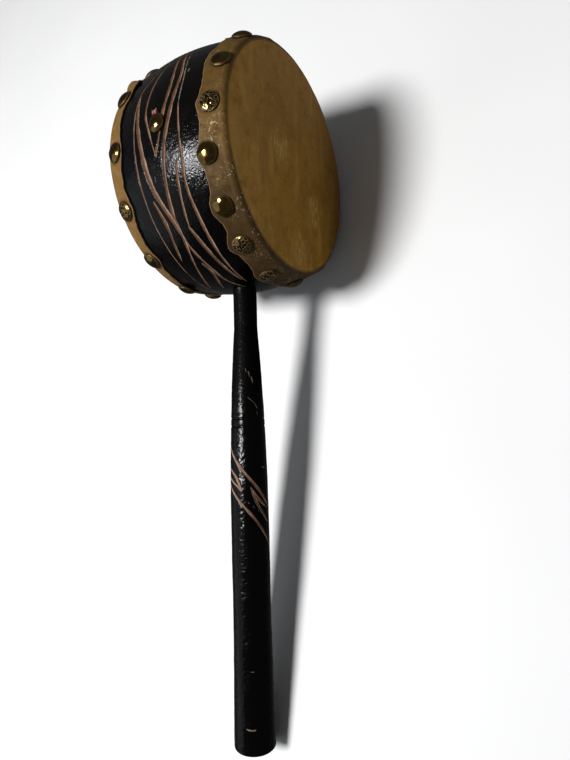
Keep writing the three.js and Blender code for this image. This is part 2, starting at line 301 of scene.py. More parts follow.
def rim_arc(lift, turns):
    """Axial places and radii over a rounded rim, at a height over the wood"""
    centre = wood_radius(SHOULDER) - RIM_ROUNDING
    reach = RIM_ROUNDING + lift
    turn = lerp(math.pi / 2, wood_lean(SHOULDER), turns)
    return SHOULDER + reach * np.sin(turn), centre + reach * np.cos(turn)


# Meshes

def round_faces(rows, columns, closed=False):
    """Quads between rows of points that each run once round a piece"""
    here = np.arange(rows if closed else rows - 1)[:, None] * columns
    there = (here + columns) % (rows * columns)
    column = np.arange(columns)[None]
    after = (column + 1) % columns
    return np.stack([here + column, there + column, there + after, here + after], -1).reshape(-1, 4)


def tip_faces(row, columns, tip, at_end):
    """Triangles that close a piece on one point"""
    column = np.arange(columns) + row * columns
    after = np.roll(column, -1)
    middle = np.full(columns, tip)
    return np.stack([column, middle, after] if at_end else [middle, column, after], -1)


def new_piece(name, points, faces, masks=None, axes=DRUM_AXES):
    """Mesh object from points in millimetres, placed by its axes and kept above the floor that the
    drum lies on, with a mask for each named value on its points"""
    placed = points * MM @ np.array(axes.to_3x3()).T + np.array(axes.translation)
    placed[:, 2] = np.maximum(placed[:, 2], 0)
    mesh = bpy.data.meshes.new(name)
    mesh.from_pydata(placed.tolist(), [], faces)
    for mask, values in (masks or {}).items():
        layer = mesh.attributes.new(mask, "FLOAT", "POINT")
        layer.data.foreach_set("value", np.asarray(values, np.float32).ravel())
    mesh.shade_smooth()
    piece = bpy.data.objects.new(name, mesh)
    bpy.context.scene.collection.objects.link(piece)
    return piece


# Gouged strokes

def stroke_path(points, samples=160):
    """Share, angle and place along a smooth path through a stroke's points, by rising angle"""
    points = np.array(sorted(points), float)
    share = np.linspace(0, 1, samples)
    place = share * (len(points) - 1)
    index = np.minimum(place.astype(int), len(points) - 2)
    past = (place - index)[:, None]
    start = points[index]
    end = points[index + 1]
    leaving = (end - points[np.maximum(index - 1, 0)]) / 2
    arriving = (points[np.minimum(index + 2, len(points) - 1)] - start) / 2
    path = (start + leaving * past + (3 * (end - start) - 2 * leaving - arriving) * past ** 2
            + (2 * (start - end) + leaving + arriving) * past ** 3)
    return share, path[:, 0], path[:, 1]


def gouge(angle, along, radius, stroke, depth, seed):
    """Depth that a stroke takes off the wood at rows and columns of points, how far inside the
    stroke each point is (1 in its middle, 0 at its edge, below 0 outside) and on which flank"""
    width, *points = stroke
    share, turns, places = stroke_path(points)
    per_degree = np.radians(1) * radius
    middle = np.interp(angle, turns, places)
    slope = np.interp(angle, turns, np.gradient(places, turns)) / per_degree
    beyond = np.maximum(np.maximum(turns[0] - angle, angle - turns[-1]), 0) * per_degree
    across = (along - middle) * np.cos(np.arctan(slope))
    fullness = lerp(0.18, 1, np.sin(math.pi * np.interp(angle, turns, share)).clip(0) ** 0.6)
    wander = np.stack(np.broadcast_arrays(angle * per_degree, along * 0.35, seed), -1)
    ragged = 1 + 0.14 * unevenness(wander, 10, seed) + 0.035 * unevenness(wander, 3, seed + 1)
    half = width / 2 * fullness * np.clip(ragged, 0.6, 1.5)
    away = np.hypot(across, beyond) / half
    deepest = depth * fullness * np.clip(width / 2.2, 0.6, 1.3)
    drop = deepest * np.clip(1 - away ** 1.3, 0, 1)
    burr = 0.12 * deepest * np.exp(-((away - 1.25) / 0.22) ** 2)
    return drop - burr, np.clip(1 - away, UNCUT, 1), np.clip(across / half, -1, 1)


def gouge_all(angle, along, radius, strokes, depth, seed):
    """The deepest of a set of strokes at each point"""
    shape = np.broadcast_shapes(angle.shape, along.shape)
    drops = np.zeros(shape)
    inside = np.full(shape, UNCUT)
    flanks = np.zeros(shape)
    for number, stroke in enumerate(strokes):
        drop, within, flank = gouge(angle, along, radius, stroke, depth, seed + 10 * number)
        drops = np.where(np.abs(drop) > np.abs(drops), drop, drops)
        flanks = np.where(within > inside, flank, flanks)
        inside = np.maximum(inside, within)
    return drops, inside, flanks


# Pieces

def shell_piece():
    """Hollow barrel with its gouged band"""
    angle = (np.arange(SHELL_COLUMNS) * 360 / SHELL_COLUMNS - 180)[None]
    rim_along, rim_radius = rim_arc(0, np.linspace(0, 1, 5))
    band_rows = round((BAND_HIGH - BAND_LOW) / BAND_STEP)
    along = np.concatenate([
        np.linspace(-SHOULDER, BAND_LOW, 3, endpoint=False),
        np.linspace(BAND_LOW, BAND_HIGH, band_rows, endpoint=False),
        np.linspace(BAND_HIGH, SHOULDER, 8)])[:, None]
    radius = RIM_RADIUS + BELLY_BULGE
    drops, inside, flanks = gouge_all(
        angle, along, radius, BAND_STROKES, BAND_STROKE_DEPTH, BAND_STROKE_SEED)
    chips, chipped, _ = gouge_all(angle, along, radius, BAND_CHIPS, CHIP_DEPTH, BAND_CHIP_SEED)
    plain = on_barrel(angle, along, 0)
    belly = on_barrel(angle, along, marked(plain, SHELL_MARKS) - np.maximum(drops, chips))
    right_rim = round_drum(angle, rim_along[::-1, None], rim_radius[::-1, None])
    left_rim = round_drum(angle, -rim_along[:, None], rim_radius[:, None])
    bore_along = np.linspace(rim_along[0], -rim_along[0], 7)[:, None]
    bore = round_drum(angle, bore_along, wood_radius(bore_along) - WALL)
    rings = np.concatenate([left_rim, belly, right_rim, bore])
    cut = np.full(rings.shape[:2], UNCUT)
    chip = np.full(rings.shape[:2], UNCUT)
    flank = np.zeros(rings.shape[:2])
    band = slice(len(left_rim), len(left_rim) + len(belly))
    cut[band] = inside
    chip[band] = chipped
    flank[band] = flanks
    faces = round_faces(len(rings), SHELL_COLUMNS, closed=True)
    masks = {"cut": cut, "chip": chip, "flank": flank}
    return new_piece("lacquered_shell", rings.reshape(-1, 3), faces.tolist(), masks)


def handle_rows():
    """Reaches of the handle's rows, closest together where the wood is scored, gouged or chipped"""
    low = wood_radius(HANDLE_OFFSET) - SOCKET_DEPTH + GAP
    rows = []
    for high, step in HANDLE_ROW_STEPS:
        rows.append(np.linspace(low, high, round((high - low) / step), endpoint=False))
        low = high
    return np.concatenate(rows + [np.linspace(low, HANDLE_REACH - BUTT_ROUNDING, 8)])


def handle_piece():
    """Turned stick with its scored rings, strokes, chips and dents"""
    angle = (np.arange(HANDLE_COLUMNS) * 360 / HANDLE_COLUMNS - 180)[None]
    reach = handle_rows()[:, None]
    radius = handle_radius(reach)
    drops, inside, flanks = gouge_all(
        angle, reach, radius, HANDLE_STROKES, HANDLE_STROKE_DEPTH, HANDLE_STROKE_SEED)
    chips, chipped, _ = gouge_all(angle, reach, radius, HANDLE_CHIPS, CHIP_DEPTH, HANDLE_CHIP_SEED)
    dents, _, _ = gouge_all(angle, reach, radius, HANDLE_DENTS, CHIP_DEPTH, HANDLE_DENT_SEED)
    plain = round_handle(angle, reach, radius)
    turning = marked(plain, HANDLE_MARKS)
    rings = sum(np.exp(-((reach - ring) / (RING_WIDTH * 0.55)) ** 2) for ring in SCORED_RINGS)
    lathe_drop = RING_DEPTH * rings * (0.85 + 0.15 * unevenness(plain, 9, RING_SEED))
    carved = np.maximum(np.maximum(drops, chips), dents)
    side = round_handle(angle, reach, radius + turning - carved - lathe_drop)
    edge = np.linspace(0, 1, 4)[1:] * math.pi / 2
    butt_radius = handle_radius(HANDLE_REACH)
    corner_reach = HANDLE_REACH - BUTT_ROUNDING * (1 - np.sin(edge))
    corner_radius = butt_radius - BUTT_ROUNDING * (1 - np.cos(edge))
    end_radius = np.concatenate([corner_radius, np.array([0.75, 0.5, 0.2]) * butt_radius])[:, None]
    end_reach = np.concatenate([corner_reach, np.full(3, HANDLE_REACH)])[:, None]
    butt = round_handle(angle, end_reach, end_radius)
    rows = np.concatenate([side, butt])
    tips = round_handle(np.zeros(2), np.array([reach[0, 0], HANDLE_REACH]), np.zeros(2))
    points = np.concatenate([rows.reshape(-1, 3), tips])
    count = rows.shape[0] * HANDLE_COLUMNS
    faces = round_faces(len(rows), HANDLE_COLUMNS).tolist()
    faces += tip_faces(0, HANDLE_COLUMNS, count, at_end=False).tolist()
    faces += tip_faces(len(rows) - 1, HANDLE_COLUMNS, count + 1, at_end=True).tolist()
    spare = len(points) - inside.size
    uncut = np.full(spare, UNCUT)
    masks = {
        "cut": np.append(inside, uncut), "chip": np.append(chipped, uncut),
        "flank": np.append(flanks, np.zeros(spare))}
    return new_piece("turned_handle", points, faces, masks)


def with_even_tacks(tacks):
    """The tacks listed and those spaced evenly round to the first"""
    first, last = tacks[0][0], tacks[-1][0]
    step = (first - last - 360) / (EVEN_TACKS + 1)
    return tacks + [(last + step * (i + 1), EVEN_INSET, EVEN_PULL) for i in range(EVEN_TACKS)]


def buckled(edge, angle):
    """Share by which the hide has come up off the wood, round the drum"""
    return bool(edge["buckle"]) * np.exp(-(nearest_turn(angle - BUCKLE_ANGLE) / BUCKLE_SPREAD) ** 2)


def fold_height(down):
    """Height of the buckled hide, from the rim down to the cut edge"""
    return smooth(down, 0.05, 0.5) - 0.7 * smooth(down, 0.6, 1)


def hide_edge(edge, tacks, angle):
    """Place of the hide's cut edge, held out at each tack and where it has buckled"""
    place = edge["mean"] + edge["sway"] * np.sin(np.radians(edge["lobes"] * angle + edge["phase"]))
    for tack_angle, _, pull in tacks:
        place = place - pull * np.exp(-(nearest_turn(angle - tack_angle) / PULL_SPREAD) ** 2)
    return place - BUCKLE_REACH * buckled(edge, angle)


def tack_distance(tacks, angle, along):
    """Distance from points on the skirt to the nearest tack's middle"""
    nearest = np.full(np.broadcast_shapes(angle.shape, along.shape), 1e3)
    for tack_angle, inset, _ in tacks:
        round_way = np.radians(nearest_turn(angle - tack_angle)) * wood_radius(inset)
        nearest = np.minimum(nearest, np.hypot(round_way, along - inset))
    return nearest


def head_piece(name, sign, edge, tacks, seed):
    """Rawhide over one end: taut face, rounded rim, and a skirt cut wavy and nailed down"""
    angle = (np.arange(HEAD_COLUMNS) * 360 / HEAD_COLUMNS - 180)[None]
    outer_lift = GAP + HIDE
    walk = round_drum(angle, 0, RIM_RADIUS)
    cut = hide_edge(edge, tacks, angle)
    cut = cut + 0.28 * unevenness(walk, 9, seed) + 0.12 * unevenness(walk, 3, seed + 1)
    fold = edge["buckle"] * buckled(edge, angle)
    skirt_top = SHOULDER + RIM_ROUNDING * np.sin(wood_lean(SHOULDER))

    arc_along, arc_radius = rim_arc(outer_lift, np.linspace(0, 1, RIM_ROWS))
    face_radius = np.linspace(FACE_MIDDLE, arc_radius[0], FACE_ROWS, endpoint=False)[:, None]
    face = round_drum(angle, DRUM_DEPTH / 2, face_radius)
    taut = smooth(face_radius, arc_radius[0], arc_radius[0] - TAUT_MARGIN)
    face[..., 0] += taut * (0.16 * unevenness(face, 42, seed + 2) + 0.05 * unevenness(face, 11, seed + 3))
    rim = round_drum(angle, arc_along[:, None], arc_radius[:, None])
    rim += 0.09 * unevenness(rim, 12, seed + 4)[..., None] * np.array([0.6, 0, 0])

    down = 1 - (1 - np.linspace(0, 1, SKIRT_ROWS)[1:, None]) ** 1.5
    along = lerp(skirt_top, cut, down)
    near = tack_distance(tacks, angle, along)
    seat = np.exp(-(near / SEAT_SPREAD) ** 2)
    plain = on_barrel(angle, along, outer_lift)
    pucker = 0.14 * smooth(down, 0.35, 1) * (1 - seat)
    grain = 0.12 * unevenness(plain * (0.35, 1, 1), 12, seed + 5) + 0.05 * unevenness(plain, 4, seed + 6)
    lift = outer_lift + down * (pucker - 0.12 * seat) + smooth(down, 0, 0.2) * grain
    skirt = on_barrel(angle, along, lift + fold * fold_height(down))

    lip_lift = np.array([0.85, 0.5, 0.12])[:, None] * HIDE + GAP
    lip_out = np.array([0.1, 0.16, 0.06])[:, None]
    lip = on_barrel(angle, cut - lip_out, lip_lift + fold * fold_height(1))
    up = np.linspace(0, 1, 6)[:, None]
    back = on_barrel(angle, lerp(cut, skirt_top, up), GAP + fold * fold_height(1 - up))
    inner_along, inner_radius = rim_arc(GAP, np.linspace(1, 0, 5))
    under_rim = round_drum(angle, inner_along[:, None], inner_radius[:, None])
    under_radius = np.linspace(inner_radius[-1], FACE_MIDDLE, 6)[1:, None]
    under_face = round_drum(angle, DRUM_DEPTH / 2 - HIDE, under_radius)

    rings = np.concatenate([face, rim, skirt, lip, back, under_rim, under_face])
    tips = np.array([[face[0, 0, 0], 0, 0], [DRUM_DEPTH / 2 - HIDE, 0, 0]])
    from_edge = np.full(rings.shape[:2], FAR)
    from_tack = np.full(rings.shape[:2], FAR)
    on_face = np.zeros(rings.shape[:2])
    top = len(face) + len(rim)
    on_face[:len(face)] = 1
    on_face[len(face):top] = np.linspace(1, -1, len(rim))[:, None].clip(0)
    from_edge[top:top + len(skirt)] = along - cut
    from_tack[top:top + len(skirt)] = near
    from_edge[top + len(skirt):top + len(skirt) + len(lip)] = 0
    points = np.concatenate([rings.reshape(-1, 3), tips]) * (sign, 1, 1)
    count = rings.shape[0] * HEAD_COLUMNS
    faces = round_faces(len(rings), HEAD_COLUMNS).tolist()
    faces += tip_faces(0, HEAD_COLUMNS, count, at_end=False).tolist()
    faces += tip_faces(len(rings) - 1, HEAD_COLUMNS, count + 1, at_end=True).tolist()
    if sign > 0:
        faces = [corners[::-1] for corners in faces]
    far = np.full(2, FAR)
    masks = {
        "from_edge": np.append(from_edge, far), "from_tack": np.append(from_tack, far),
        "on_face": np.append(on_face, (1, 0))}
    return new_piece(name, points, faces, masks)


def tack_axes(angle, along, lift):
    """Place of a tack: its base on the hide or the wood, its Z out of the barrel"""
    base = on_barrel(angle, along, lift)
    out = Vector(on_barrel(angle, along, lift + 1) - base)
    turn = Vector((0, 0, 1)).rotation_difference(out)
    return DRUM_AXES @ Matrix.Translation(Vector(base) * MM) @ turn.to_matrix().to_4x4()


def tack_piece(name, angle, along, lift, radius, pitted, seed):
    """Domed tack head, a little out of true, dented where it was struck"""
    round_way = (np.arange(TACK_COLUMNS) * 360 / TACK_COLUMNS)[None]
    climb = np.radians(np.linspace(0, 90, 15, endpoint=False))[:, None]
    crown = TACK_HEIGHT - TACK_LIP
    ball = (radius ** 2 + crown ** 2) / (2 * crown)
    reach = radius * np.cos(climb)
    cap = np.sqrt(ball ** 2 - reach ** 2) - ball + crown
    height = TACK_LIP + lerp(crown * np.sin(climb), cap, 0.75)
    skirt_reach = np.array([0.99, 1.0])[:, None] * radius
    skirt_height = np.array([-TACK_BITE, TACK_LIP * 0.5])[:, None]
    reach = np.concatenate([skirt_reach, reach])
    height = np.concatenate([skirt_height, height])
    turn = np.radians(round_way)
    out_of_round = 1 + 0.02 * unevenness(np.stack(
        np.broadcast_arrays(np.cos(turn), np.sin(turn), 0.0), -1) * radius, 9, seed)
    reach = reach * out_of_round
    rings = np.stack(np.broadcast_arrays(reach * np.cos(turn), reach * np.sin(turn), height), -1).copy()
    worked = smooth(height, TACK_LIP * 0.6, TACK_LIP * 2)
    dents = 0.04 * unevenness(rings, 6, seed + 1) + 0.01 * unevenness(rings, 2.4, seed + 2)
    pits = pitted * smooth(unevenness(rings, 2.6, seed + 3), -0.2, 0.9)
    dents = dents - PIT_DEPTH * pits
    rings[..., 2] += worked * dents
    tips = np.array([[0, 0, rings[-1, :, 2].mean() + 0.02], [0, 0, -TACK_BITE]])
    points = np.concatenate([rings.reshape(-1, 3), tips])
    count = rings.shape[0] * TACK_COLUMNS
    faces = [corners[::-1] for corners in round_faces(len(rings), TACK_COLUMNS).tolist()]
    faces += tip_faces(len(rings) - 1, TACK_COLUMNS, count, at_end=True)[:, ::-1].tolist()
    faces += tip_faces(0, TACK_COLUMNS, count + 1, at_end=False)[:, ::-1].tolist()
    masks = {"height": points[:, 2], "pit": np.append(worked * pits, np.zeros(2))}
    return new_piece(name, points, faces, masks, tack_axes(angle, along, lift))


def strand(way, radius):
    """Thin round thread along a path of points, closed at both ends"""
    ahead = np.gradient(way, axis=0)
    ahead /= np.linalg.norm(ahead, axis=1, keepdims=True)
    side = np.cross(ahead, (0.31, 0.17, 0.93))
    side /= np.linalg.norm(side, axis=1, keepdims=True)
    rise = np.cross(ahead, side)
    turn = (np.arange(STRAND_SIDES) * 2 * math.pi / STRAND_SIDES)[None, :, None]
    taper = radius * np.array([0.75] + [1] * (len(way) - 2) + [0.6])[:, None, None]
    rings = way[:, None] + taper * (np.cos(turn) * side[:, None] + np.sin(turn) * rise[:, None])
    return np.concatenate([rings.reshape(-1, 3), way[:1], way[-1:]])


def cord_piece():
    """Stub of faded cord across the way out from its tack: twisted threads, frayed at both ends"""
    bearing = math.radians(STUB_BEARING)
    angle = CORD_TACK_ANGLE + math.degrees(STUB_REACH * math.sin(bearing) / wood_radius(0))
    along = CORD_TACK_OFFSET + STUB_REACH * math.cos(bearing)
    draw = np.random.default_rng(CORD_SEED)
    share = np.linspace(-1, 1, STRAND_STEPS)
    points = []
    faces = []
    for number in range(THREADS):
        start = number * 2 * math.pi / THREADS
        fray = draw.uniform(0.2, 0.9) * np.abs(share) ** 3
        reach = STUB_RADIUS * draw.uniform(0.25, 1.1) + fray
        twist = start + share * STUB_TWIST + draw.normal(scale=0.3)
        length = STUB_LENGTH / 2 * draw.uniform(0.75, 1.05)
        forward = share * length
        sideways = reach * np.cos(twist)
        upward = np.maximum(0.8 * reach * np.sin(twist) + STUB_RADIUS * 0.75, 0.12)
        round_way = sideways * math.sin(bearing) + forward * math.cos(bearing)
        along_way = sideways * math.cos(bearing) - forward * math.sin(bearing)
        way = on_barrel(angle + np.degrees(round_way / wood_radius(0)), along + along_way, upward)
        first = sum(len(made) for made in points)
        points.append(strand(way, draw.uniform(*THREAD_RADII)))
        count = STRAND_STEPS * STRAND_SIDES
        made = round_faces(STRAND_STEPS, STRAND_SIDES).tolist()
        made += tip_faces(0, STRAND_SIDES, count, at_end=False).tolist()
        made += tip_faces(STRAND_STEPS - 1, STRAND_SIDES, count + 1, at_end=True).tolist()
        faces += [[first + corner for corner in corners] for corners in made]
    return new_piece("cord_tuft", np.concatenate(points), faces)


# Finishes

class Amount:
    """A number or colour that varies over a surface; arithmetic on numbers adds Math nodes"""

    def __init__(self, finish, socket):
        self.finish = finish
        self.socket = socket

    def math(self, operation, first, second):
        return self.finish.node("Math", {"operation": operation}, {0: first, 1: second})

    def __add__(self, other):
        return self.math("ADD", self, other)

    def __radd__(self, other):
        return self.math("ADD", other, self)

    def __sub__(self, other):
        return self.math("SUBTRACT", self, other)

    def __rsub__(self, other):
        return self.math("SUBTRACT", other, self)

    def __mul__(self, other):
        return self.math("MULTIPLY", self, other)

    def __rmul__(self, other):
        return self.math("MULTIPLY", other, self)

    def __abs__(self):
        return self.math("ABSOLUTE", self, 0)


class Finish:
    """A material, built up node by node"""

    def __init__(self, name):
        self.material = bpy.data.materials.new(name)
        self.material.use_nodes = True
        self.tree = self.material.node_tree
        self.tree.nodes.clear()
        self.spot = self.node("Mapping", {"vector_type": "TEXTURE"}, {
            "Vector": self.node("TexCoord", output="Object"),
            "Location": DRUM_AXES.translation, "Rotation": DRUM_AXES.to_euler()})

    def node(self, kind, settings=None, inputs=None, output=0):
        made = self.tree.nodes.new("ShaderNode" + kind)
        for setting, value in (settings or {}).items():
            setattr(made, setting, value)
        for place, value in (inputs or {}).items():
            if isinstance(value, Amount):
                self.tree.links.new(value.socket, made.inputs[place])
            else:
                made.inputs[place].default_value = value
        return None if output is None else Amount(self, made.outputs[output])

    def mask(self, name):
        """Value kept on the mesh's points"""
        return self.node("Attribute", {"attribute_name": name}, output="Fac")

    def axis(self, letter):
        """Place along one of the drum's axes, in metres"""
        return self.node("SeparateXYZ", inputs={0: self.spot}, output=letter)

    def stretched(self, stretch):
        return self.node("VectorMath", {"operation": "MULTIPLY"}, {0: self.spot, 1: stretch})

    def distance(self, place):
        """Distance in metres from a place in millimetres"""
        there = tuple(MM * value for value in place)
        return self.node("VectorMath", {"operation": "DISTANCE"}, {0: self.spot, 1: there}, output="Value")

    def noise(self, size, detail=3, roughness=0.55, distortion=0, stretch=None):
        """Cloudy pattern, about 0.25 to 0.75, with clouds of a size in millimetres"""
        spot = self.stretched(stretch) if stretch else self.spot
        return self.node("TexNoise", inputs={
            "Vector": spot, "Scale": 1 / (size * MM), "Detail": detail,
            "Roughness": roughness, "Distortion": distortion}, output="Fac")

    def grains(self, size, stretch=None):
        """Distance from the middles of scattered grains, 0 at each"""
        spot = self.stretched(stretch) if stretch else self.spot
        return self.node("TexVoronoi", inputs={"Vector": spot, "Scale": 1 / (size * MM)}, output="Distance")

    def between(self, value, low, high):
        """0 at low and 1 at high, with a soft step between them"""
        return self.node("MapRange", {"interpolation_type": "SMOOTHSTEP"}, {
            "Value": value, "From Min": low, "From Max": high})

    def colour(self, share, low, high):
        return self.node("Mix", {"data_type": "RGBA"}, {0: share, 6: low, 7: high}, output=2)

    def bump(self, height, depth):
        """Relief of a depth in millimetres"""
        return self.node("Bump", inputs={"Height": height, "Distance": depth * MM, "Strength": 1})

    def surface(self, inputs, other=None, share=None):
        """The finish itself, or a blend of two by the share of the other"""
        shader = self.node("BsdfPrincipled", inputs=inputs)
        if other:
            second = self.node("BsdfPrincipled", inputs=other)
            shader = self.node("MixShader", inputs={0: share, 1: shader, 2: second})
        self.node("OutputMaterial", inputs={"Surface": shader}, output=None)
        return self.material


def tone(red, green, blue):
    return (red, green, blue, 1)


def black_lacquer():
    """Thin black lacquer over pale wood: stippled gloss, brown where it wears, bare where it is cut"""
    lacquer = Finish("black_lacquer")
    cut = lacquer.mask("cut")
    flank = lacquer.mask("flank")
    along = lacquer.axis("X")
    over = lacquer.axis("Y")
    ragged = lacquer.noise(1.6, detail=3)
    gouged = lacquer.between(cut + (ragged - 0.5) * 0.4, -0.02, 0.14)
    chipped = lacquer.between(lacquer.mask("chip") + (lacquer.noise(0.9) - 0.5) * 2, 0.05, 0.5)
    bare = gouged + chipped - gouged * chipped
    clouds = lacquer.noise(22, detail=4)
    fibres = lacquer.noise(1.1, detail=4, stretch=(1, 0.2, 0.2))
    brushed = lacquer.noise(1.3, detail=1.5)
    stipple = lacquer.noise(2, detail=0.5)
    pits = lacquer.grains(1.8)
    on_handle = lacquer.between(over, -0.084, -0.094)
    on_neck = lacquer.between(over, -0.175, -0.14) * lacquer.between(over, -0.08, -0.088)

    coat = lacquer.colour(
        lacquer.between(clouds, 0.38, 0.62), tone(0.0026, 0.0022, 0.0016), tone(0.0016, 0.0016, 0.0016))
    # bluish towards the left (-X): a painted reflection of bluish light from that side
    coat = lacquer.colour(lacquer.between(along, 0.004, -0.03) * 0.8, coat, tone(0.0025, 0.0026, 0.0036))
    # darker on the shell's side towards the handle and over the whole handle: painted shade
    coat = lacquer.colour(lacquer.between(over, -0.02, -0.075), coat, tone(0.0008, 0.0008, 0.0007))
    thin = lacquer.between(cut, -0.5, 0.05) * lacquer.between(lacquer.noise(5), 0.42, 0.65)
    coat = lacquer.colour(thin * 0.6, coat, tone(0.03, 0.015, 0.007))
    wood = lacquer.colour(
        lacquer.between(fibres, 0.35, 0.68), tone(0.15, 0.085, 0.054), tone(0.29, 0.185, 0.13))
    # one wall of each groove is painted dark brown and the other pale: painted shade on the wall turned from
    # the light, painted light on the wall turned to it
    shaded = lacquer.between(flank + (ragged - 0.5) * 0.9, 0.1, -0.5)
    wood = lacquer.colour(shaded * 0.85, wood, tone(0.1, 0.048, 0.024))
    lit = lacquer.between(flank + (ragged - 0.5) * 0.6, 0.3, 0.6)
    wood = lacquer.colour(lit * 0.6, wood, tone(0.4, 0.29, 0.22))
    wood = lacquer.colour(lacquer.between(lacquer.noise(9), 0.5, 0.7) * 0.5, wood, tone(0.15, 0.08, 0.04))
    wood = lacquer.colour(chipped * (1 - gouged), wood, tone(0.19, 0.14, 0.1))
    colour = lacquer.colour(bare, coat, wood)

    gloss = 0.15 + 0.1 * lacquer.between(lacquer.noise(7, detail=4), 0.35, 0.75)
    skin = brushed * 1.7 * (1 - on_handle) + stipple * 2.4 * on_handle
    height = skin + lacquer.between(pits, 0.0, 0.3) * 0.55 + fibres * bare * 2
    relief = lacquer.bump(height, 0.12)
    shiny = {"Base Color": colour, "Roughness": gloss, "Specular IOR Level": 0.155, "Normal": relief}
    dull = 0.5 + 0.2 * ragged
    matt = {"Base Color": colour, "Roughness": dull, "Specular IOR Level": 0.04, "Normal": relief}
    worn = bare + on_neck * 0.95 - bare * on_neck * 0.95
    return lacquer.surface(shiny, matt, worn)


def rawhide(name, wide_side):
    """Scraped rawhide: ochre clouds, streaks, scuffs and scratches, dark at the tacks, pale on its cut edge"""
    hide = Finish(name)
    out = abs(hide.axis("X"))
    over = hide.axis("Y")
    up = hide.axis("Z")
    from_edge = hide.mask("from_edge")
    from_tack = hide.mask("from_tack")
    on_face = hide.mask("on_face")

    clouds = hide.noise(30, detail=4, distortion=0.4)
    mottle = hide.noise(7, detail=5, roughness=0.62)
    streaks = hide.noise(8, detail=4, stretch=(1, 0.26, 1))
    hairs = hide.noise(1.4, detail=3, stretch=(1, 0.22, 1))
    grain = hide.noise(1.3, detail=2)
    skirt = 1 - hide.between(on_face + (mottle - 0.5) * 0.4, 0.3, 0.85)

    face = hide.colour(hide.between(clouds, 0.36, 0.64), tone(0.22, 0.101, 0.002), tone(0.27, 0.127, 0.004))
    # lighter towards +Y
    face = hide.colour(hide.between(over, -0.01, 0.07) * 0.65, face, tone(0.325, 0.158, 0.03))
    # lighter towards the top (+Z): painted light on the upper part of the face
    face = hide.colour(hide.between(up, 0.015, 0.065) * 0.6, face, tone(0.36, 0.185, 0.026))
    face = hide.colour(hide.between(mottle, 0.46, 0.7) * 0.5, face, tone(0.155, 0.07, 0.002))
    face = hide.colour(hide.between(grain, 0.42, 0.7) * 0.22, face, tone(0.15, 0.07, 0.003))
    pale = hide.between(streaks, 0.5, 0.7) * 0.4 + hide.between(hairs, 0.6, 0.72) * 0.15
    face = hide.colour(pale, face, tone(0.4, 0.225, 0.036))
    rubbed = hide.between(hairs, 0.5, 0.64) * 0.6 + 0.12
    for spot in WORN_SPOTS:
        worn = 1 - hide.between(hide.distance(spot) + (streaks - 0.5) * 0.03, 0.003, 0.015)
        face = hide.colour(worn * rubbed, face, tone(0.5, 0.32, 0.09))
    # darker towards the floor (-Z): painted shadow where the floor shades the face
    face = hide.colour(hide.between(up, -0.025, -0.068) * 0.6, face, tone(0.13, 0.054, 0.002))
    if not wide_side:
        face = hide.colour(0.65, face, tone(0.19, 0.108, 0.034))

    side = hide.colour(
        hide.between(clouds, 0.35, 0.65), tone(0.108, 0.058, 0.013), tone(0.145, 0.082, 0.022))
    side = hide.colour(hide.between(mottle, 0.44, 0.66) * 0.7, side, tone(0.07, 0.035, 0.007))
    side = hide.colour(hide.between(grain, 0.44, 0.7) * 0.35, side, tone(0.06, 0.03, 0.006))
    # darker towards the handle (-Y): painted shade on the side turned from the light
    side = hide.colour(hide.between(over, -0.016, -0.05) * 0.72, side, tone(0.026, 0.0125, 0.002))
    if not wide_side:
        side = hide.colour(
            hide.between(mottle, 0.3, 0.7), tone(0.14, 0.072, 0.018), tone(0.18, 0.097, 0.027))
    colour = hide.colour(skirt, face, side)

    scuffed = 1 - hide.between(hide.distance(SCUFFED_SPOT), 0.004, 0.014)
    scuff_cloud = hide.between(hide.noise(11, detail=3), 0.52, 0.66) * 0.6 + scuffed
    scuffs = hide.between(hide.noise(1.5, detail=4, roughness=0.7), 0.53, 0.66) * scuff_cloud
    colour = hide.colour(scuffs * skirt * 0.6, colour, tone(0.36, 0.26, 0.13))
    contour = abs(hide.noise(9, detail=1, distortion=0.6, stretch=(1, 0.6, 1)) - 0.5)
    broken = hide.between(hide.noise(2.6), 0.5, 0.58)
    scratches = (1 - hide.between(contour, 0.003, 0.016)) * scuff_cloud * broken
    colour = hide.colour(scratches * skirt * 0.75, colour, tone(0.46, 0.34, 0.18))
    grit_field = hide.between(hide.noise(6), 0.44, 0.6) * hide.between(over, -0.012, -0.035)
    grit_field = grit_field * hide.between(out, 0.031, 0.043) * hide.between(up, -0.01, 0.03)
    grit = (1 - hide.between(hide.grains(1.5) + (mottle - 0.5) * 0.6, 0.1, 0.26)) * grit_field
    colour = hide.colour(grit * 0.85, colour, tone(0.5, 0.41, 0.22))
    specks = (1 - hide.between(hide.grains(6.5), 0.05, 0.11)) * 0.5
    colour = hide.colour(specks, colour, tone(0.46, 0.35, 0.17))

    # a dark line where the skirt turns into the face: painted shade in the crease
    crease_shade = 1 - hide.between(abs(on_face - 0.75), 0.0, 0.25)
    colour = hide.colour(crease_shade * 0.6, colour, tone(0.06, 0.03, 0.006))
    grime = 1 - hide.between(from_tack + mottle * 1.6, TACK_RADIUS + 0.6, TACK_RADIUS + 2.8)
    colour = hide.colour(grime * 0.6, colour, tone(0.05, 0.026, 0.007))
    shade = (1 - hide.between(from_edge, 0.3, 2.4)) * hide.between(mottle, 0.35, 0.6)
    colour = hide.colour(shade * 0.35, colour, tone(0.06, 0.03, 0.009))
    raw_edge = 1 - hide.between(from_edge, 0.0, 0.5)
    colour = hide.colour(raw_edge * 0.6, colour, tone(0.32, 0.205, 0.105))

    relief = mottle * 0.5 + hairs * 0.25 + scuffs * 0.5 + grit * 1.2 + hide.noise(0.9, detail=2) * 0.3
    roughness = 0.55 + 0.22 * hide.between(mottle, 0.3, 0.7) + grit * 0.05
    return hide.surface({
        "Base Color": colour, "Roughness": roughness, "Specular IOR Level": 0.16,
        "Normal": hide.bump(relief, 0.24)})


